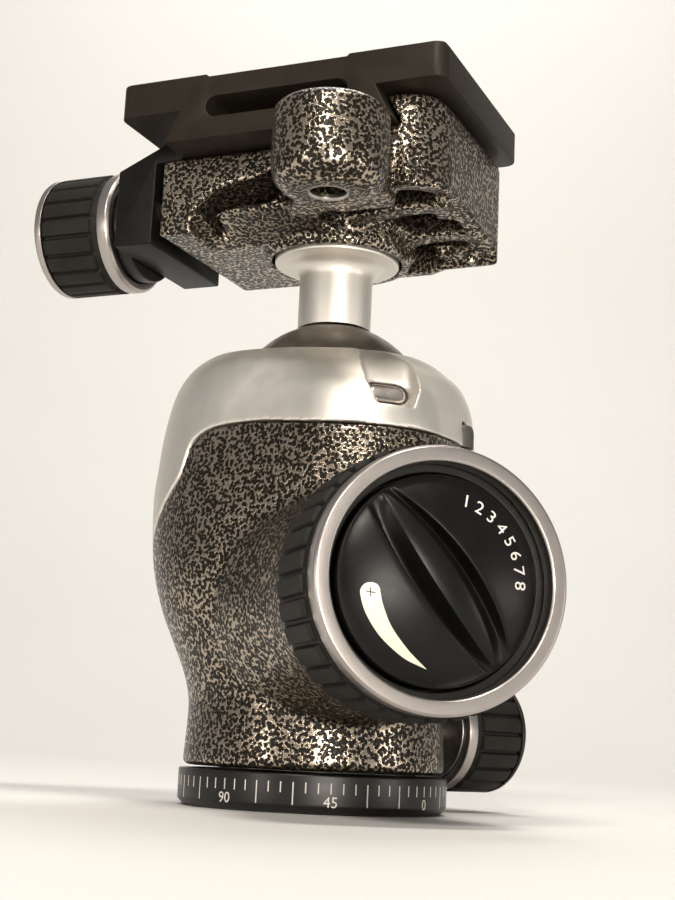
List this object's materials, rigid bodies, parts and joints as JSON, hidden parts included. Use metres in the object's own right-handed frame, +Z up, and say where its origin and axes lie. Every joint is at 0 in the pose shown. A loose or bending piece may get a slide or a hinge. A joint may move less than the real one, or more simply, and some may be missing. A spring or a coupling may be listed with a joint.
{
  "type": "tripod_ball_head",
  "caption": "Tripod ball head with a panning base, knob lock with friction dial, pan lock and a dovetail clamp holding a camera plate",
  "frame": {"origin": "centre of the tripod thread at the underside of the base", "axes": "+Z up along the pan axis toward the camera, -Y toward the main lock knob, +X to the right of it"},
  "size_m": [0.0859, 0.088, 0.1164],
  "materials": {
    "hammered": "hammered gloss",
    "blasted": "bead blasted",
    "ring_silver": "anodised satin",
    "ball_coat": "hard anodised satin",
    "satin_black": "satin",
    "anodised": "black anodised",
    "rubber": "matte ribbed",
    "steel": "machined",
    "brass": "machined",
    "nylon": "moulded",
    "vial_fluid": "clear tinted"
  },
  "bodies": {
    "base": {"index_ring": "satin_black", "base_disc": "satin_black", "thread_bush": "steel", "glide_washer": "nylon", "spindle_nut": "brass"},
    "housing": {"front_housing": "hammered", "collar": "blasted", "notch_insert": "satin_black", "collar_pin": "satin_black", "ball_cup": "nylon", "spring_washers": "steel", "lift_piston": "steel", "pan_shoe": "brass"},
    "lock_knob": {"lock_knob_core": "satin_black", "lock_knob_grip": "rubber", "lock_knob_ring": "ring_silver", "lock_shaft": "steel"},
    "dial": {"friction_dial": "satin_black", "friction_screw": "steel"},
    "pan_knob": {"pan_knob_core": "satin_black", "pan_knob_ring": "ring_silver", "pan_knob_grip": "rubber", "pan_knob_cap": "satin_black"},
    "ball": {"ball": "ball_coat"},
    "stem": {"stem": "blasted"},
    "clamp": {"clamp_body": "hammered", "platform_bolt": "steel", "level_vial": "vial_fluid", "level_bezel": "steel", "guide_pin_front": "steel", "guide_pin_back": "steel", "jaw_spring": "steel"},
    "jaw": {"clamp_jaw": "satin_black"},
    "clamp_knob": {"clamp_knob_core": "satin_black", "clamp_knob_ring_inner": "ring_silver", "clamp_knob_grip": "rubber", "clamp_knob_ring_outer": "ring_silver", "clamp_screw": "steel"},
    "plate": {"camera_plate": "anodised", "plate_pad_left": "rubber", "plate_pad_right": "rubber"},
    "camera_screw": {"camera_screw": "steel", "screw_clip": "steel"}
  },
  "joints": [
    {"name": "pan", "type": "hinge", "parent": "base", "child": "housing", "pos_m": [0, 0, 0.0057], "axis": [0, 0, 1], "continuous": true},
    {"name": "lock_turn", "type": "hinge", "parent": "housing", "child": "lock_knob", "pos_m": [0, -0.042, 0.0308], "axis": [0, -1, 0], "range_deg": [0, 270]},
    {"name": "friction_turn", "type": "hinge", "parent": "lock_knob", "child": "dial", "pos_m": [0, -0.048, 0.0308], "axis": [0, -1, 0], "range_deg": [0, 270]},
    {"name": "pan_lock_turn", "type": "hinge", "parent": "housing", "child": "pan_knob", "pos_m": [0.02778, 0.01134, 0.0128], "axis": [0.9259, 0.3778, 0], "range_deg": [0, 270]},
    {"name": "ball_tilt_x", "type": "hinge", "parent": "housing", "child": "ball", "pos_m": [0, 0, 0.06024], "axis": [1, 0, 0], "range_deg": [-21, 21]},
    {"name": "ball_tilt_y", "type": "hinge", "parent": "ball", "child": "stem", "pos_m": [0, 0, 0.06024], "axis": [0, 1, 0], "range_deg": [-21, 21]},
    {"name": "ball_spin", "type": "hinge", "parent": "stem", "child": "clamp", "pos_m": [0, 0, 0.0875], "axis": [0, 0, 1], "continuous": true},
    {"name": "jaw_slide", "type": "slide", "parent": "clamp", "child": "jaw", "axis": [-0.7536, 0.6574, 0], "range_m": [0, 0.004]},
    {"name": "clamp_screw_turn", "type": "hinge", "parent": "jaw", "child": "clamp_knob", "pos_m": [-0.03559, 0.02309, 0.0942], "axis": [-0.7536, 0.6574, 0], "range_deg": [0, 1800]},
    {"name": "plate_slide", "type": "slide", "parent": "clamp", "child": "plate", "axis": [0.6574, 0.7536, 0], "range_m": [0, 0.025]},
    {"name": "camera_screw_turn", "type": "hinge", "parent": "plate", "child": "camera_screw", "pos_m": [-0.0048, -0.00444, 0.11], "axis": [0, 0, 1], "continuous": true}
  ],
  "couplings": [
    {"joint": "clamp_screw_turn", "follows": "jaw_slide", "rad_per_m": 7854}
  ]
}
